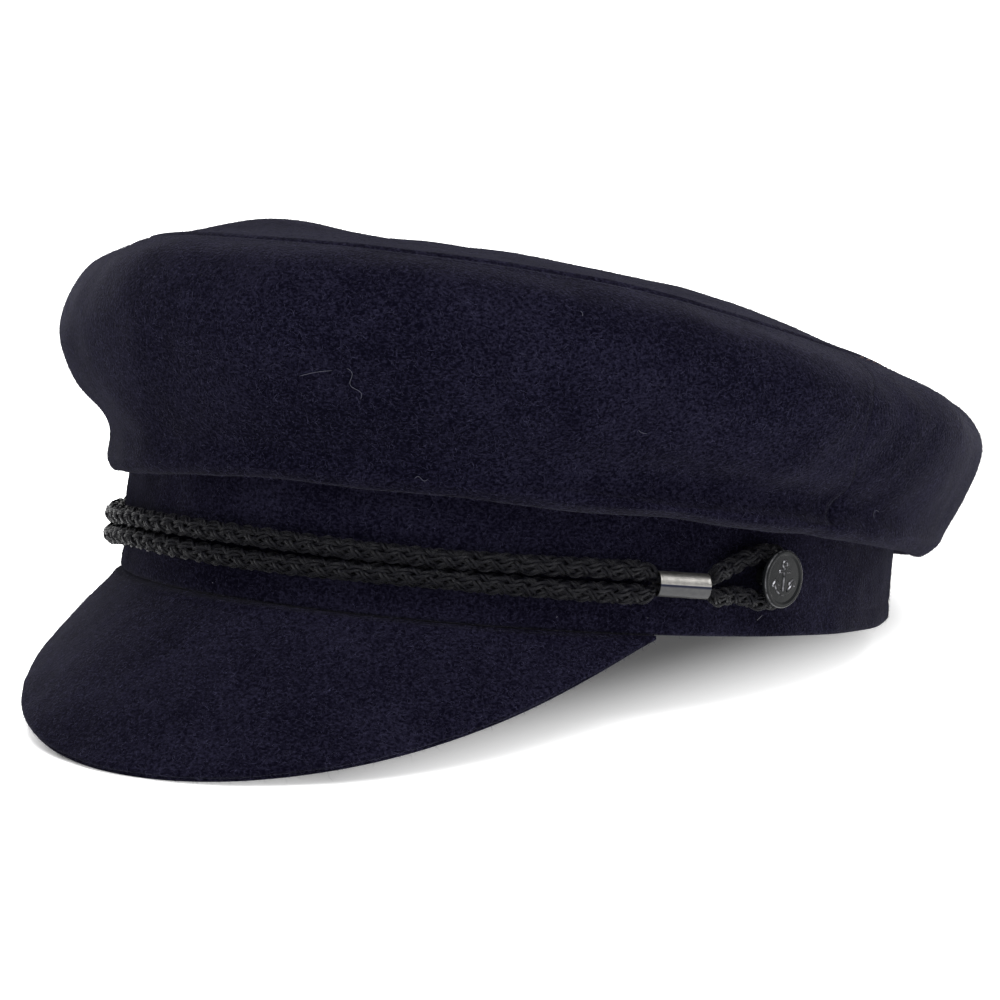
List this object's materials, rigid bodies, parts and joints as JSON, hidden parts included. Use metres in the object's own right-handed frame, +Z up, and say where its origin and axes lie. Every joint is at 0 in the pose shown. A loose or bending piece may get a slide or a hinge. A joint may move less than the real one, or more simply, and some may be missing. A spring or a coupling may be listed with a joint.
{
  "type": "breton fisherman cap",
  "caption": "Navy wool sailor cap with a soft flared crown, an upright band, a short stiff peak and a doubled braided cord held by metal ferrules and buttons.",
  "frame": {"origin": "on the surface that the cap rests on, under the middle of its bounding box", "axes": "+Z up, -Y the way the peak points, +X towards the wearer's left"},
  "size_m": [0.2096, 0.2714, 0.11],
  "materials": {
    "navy_wool": "brushed melton wool with a short nap",
    "black_braid": "tight braid with a slight sheen",
    "satin_steel": "satin",
    "black_enamel": "gloss black"
  },
  "bodies": {
    "root": {"band": "navy_wool", "crown_side_front": "navy_wool", "crown_side_back": "navy_wool", "crown_tip": "navy_wool", "peak": "navy_wool", "braid_cord": "black_braid", "ferrule_left": "satin_steel", "ferrule_right": "satin_steel", "button_left": "black_enamel", "button_right": "black_enamel"}
  },
  "joints": []
}
